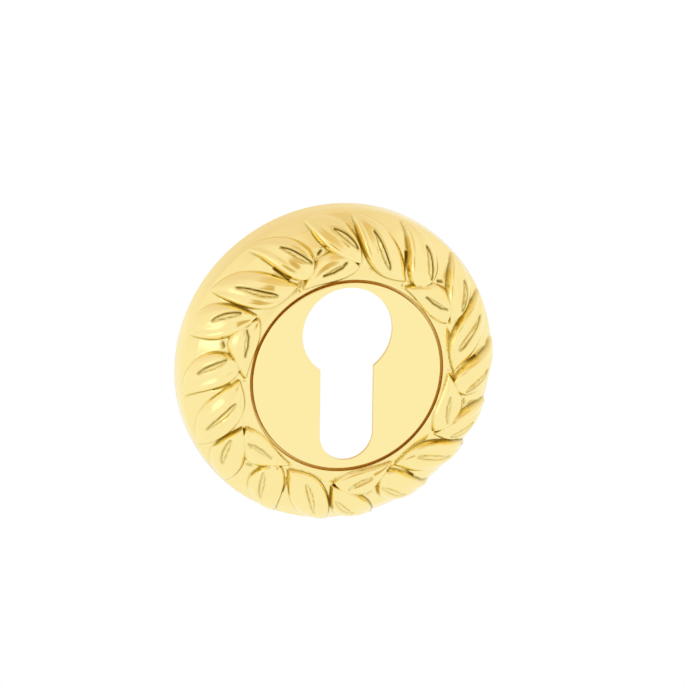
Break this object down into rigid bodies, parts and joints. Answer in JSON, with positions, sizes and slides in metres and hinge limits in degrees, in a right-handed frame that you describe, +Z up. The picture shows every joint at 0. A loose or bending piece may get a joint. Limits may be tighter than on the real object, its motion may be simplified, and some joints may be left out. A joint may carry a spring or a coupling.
{
  "type": "keyhole escutcheon",
  "caption": "Round polished keyhole escutcheon: a cast ring carved with a leaf wreath, a flat plate with a euro profile keyhole, and a hidden base with screw holes.",
  "frame": {"origin": "the rosette's axis in the plane of its back, which is the face of the door", "axes": "+Z up along the keyhole, from its slot to its round head; the front looks along -Y; +X to the right as seen from the front"},
  "size_m": [0.06, 0.0119, 0.06],
  "materials": {
    "polished_gold": "polished, gold plated",
    "polished_gold_plate": "polished, gold plated",
    "base_plastic": "moulded, matte"
  },
  "bodies": {
    "root": {"carved_ring": "polished_gold", "keyhole_plate": "polished_gold_plate", "mounting_base": "base_plastic"}
  },
  "joints": []
}
